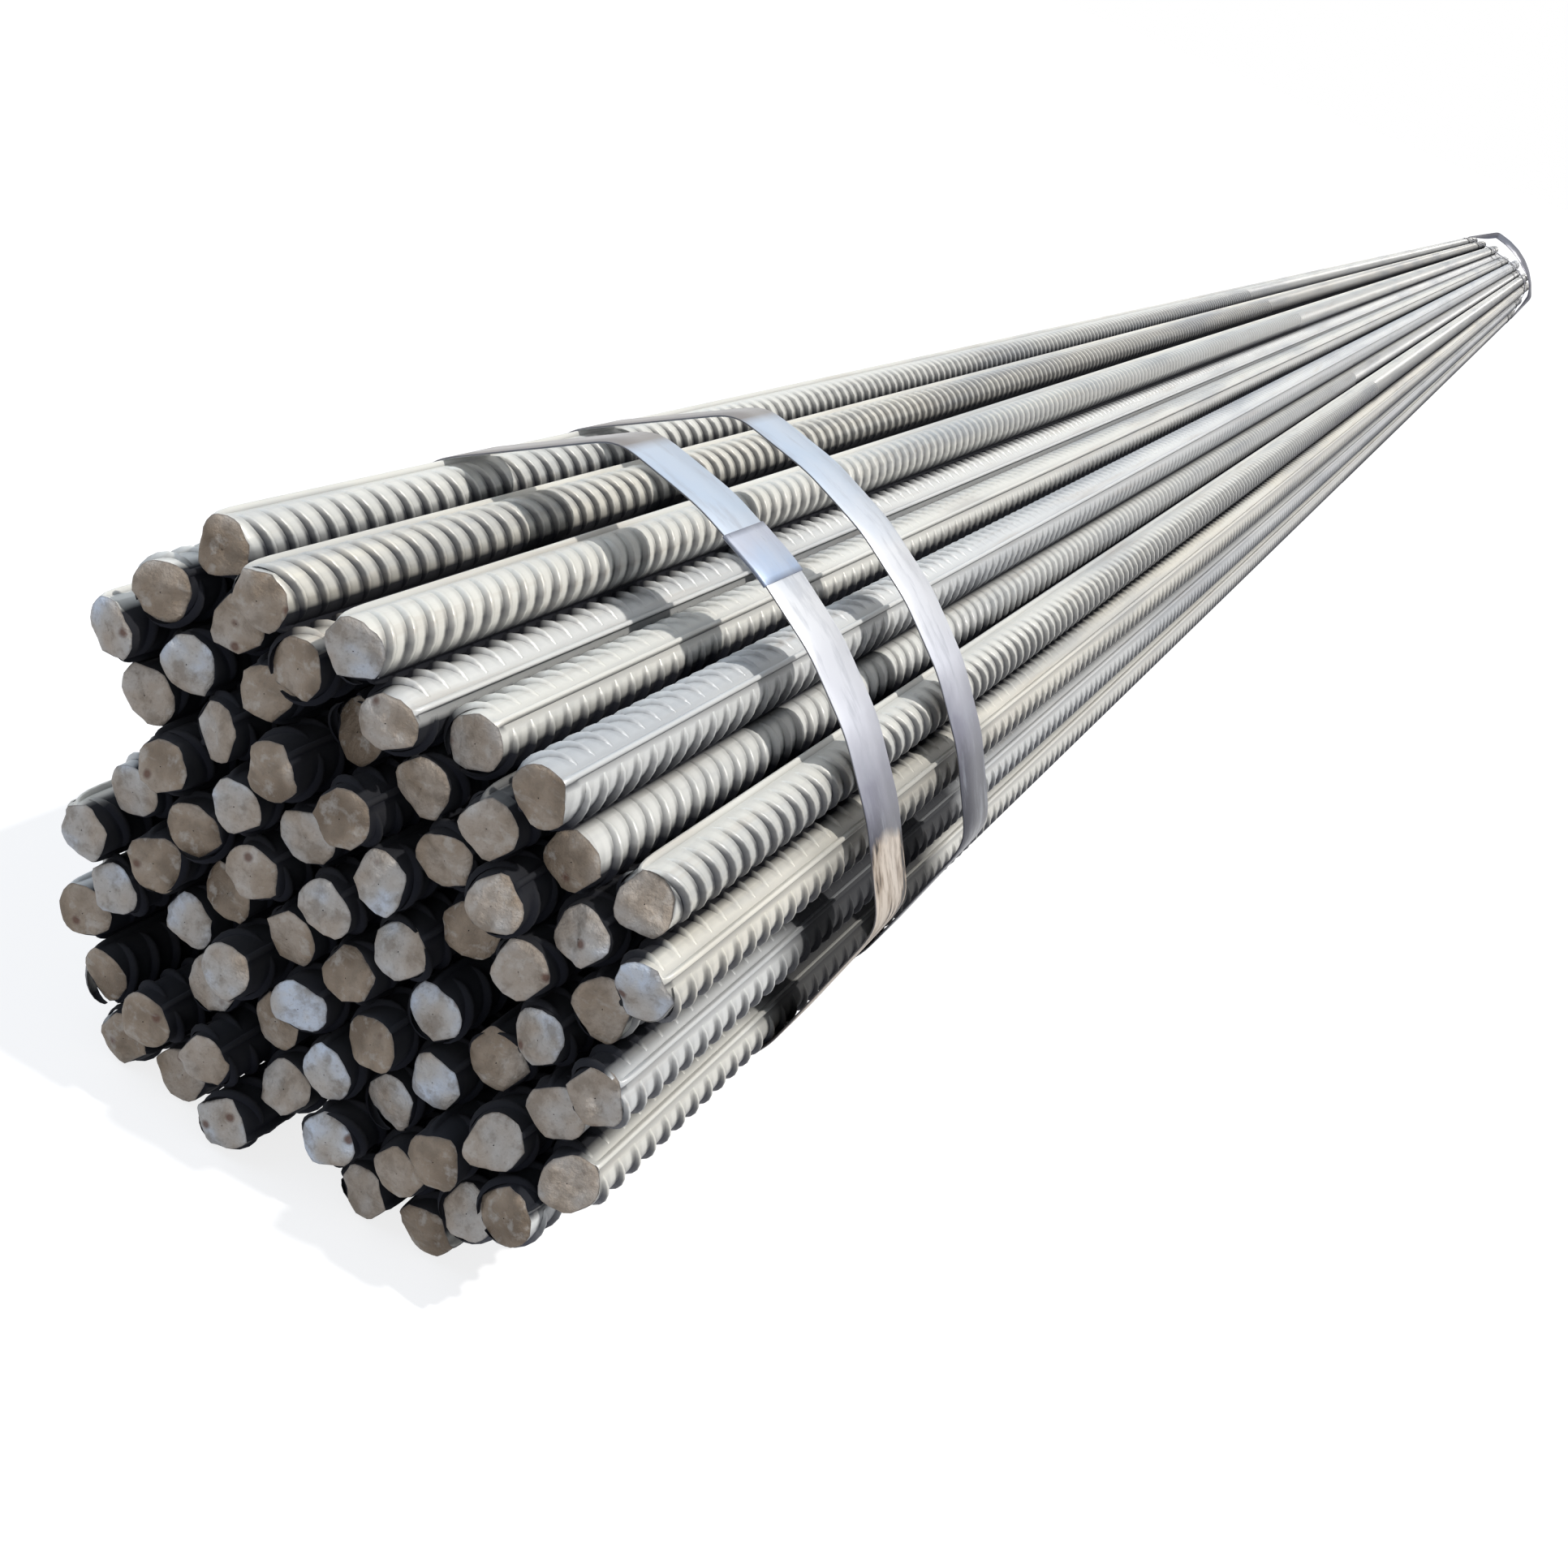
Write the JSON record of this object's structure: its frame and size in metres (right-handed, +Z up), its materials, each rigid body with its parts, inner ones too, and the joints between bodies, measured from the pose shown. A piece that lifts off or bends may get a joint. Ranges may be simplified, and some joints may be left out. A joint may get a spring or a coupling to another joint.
{
  "type": "rebar bundle",
  "caption": "Strapped bundle of ribbed steel reinforcing bars with sheared ends, lying level as it is stored before use.",
  "frame": {"origin": "middle of the bundle's box, on the floor that it lies on", "axes": "+X along the bars, away from the uneven near ends that two straps sit close to; +Y to the left seen from those ends; +Z up"},
  "size_m": [6.0196, 0.2966, 0.2885],
  "materials": {
    "bar_steel": "hot-rolled mill scale, silvery grey with a warm tint, dark between the ribs, brown-grey sheared ends",
    "strap_steel": "cold-rolled flat strapping, pale bluish grey, scuffed, rusty brown low at the side"
  },
  "bodies": {
    "root": {"bars_row_1": "bar_steel", "bars_row_2": "bar_steel", "bars_row_3": "bar_steel", "bars_row_4": "bar_steel", "bars_row_5": "bar_steel", "bars_row_6": "bar_steel", "bars_row_7": "bar_steel", "bars_row_8": "bar_steel", "bars_row_9": "bar_steel", "bars_row_10": "bar_steel", "bars_row_11": "bar_steel", "strap_1": "strap_steel", "strap_2": "strap_steel", "strap_3": "strap_steel", "strap_4": "strap_steel"}
  },
  "joints": []
}
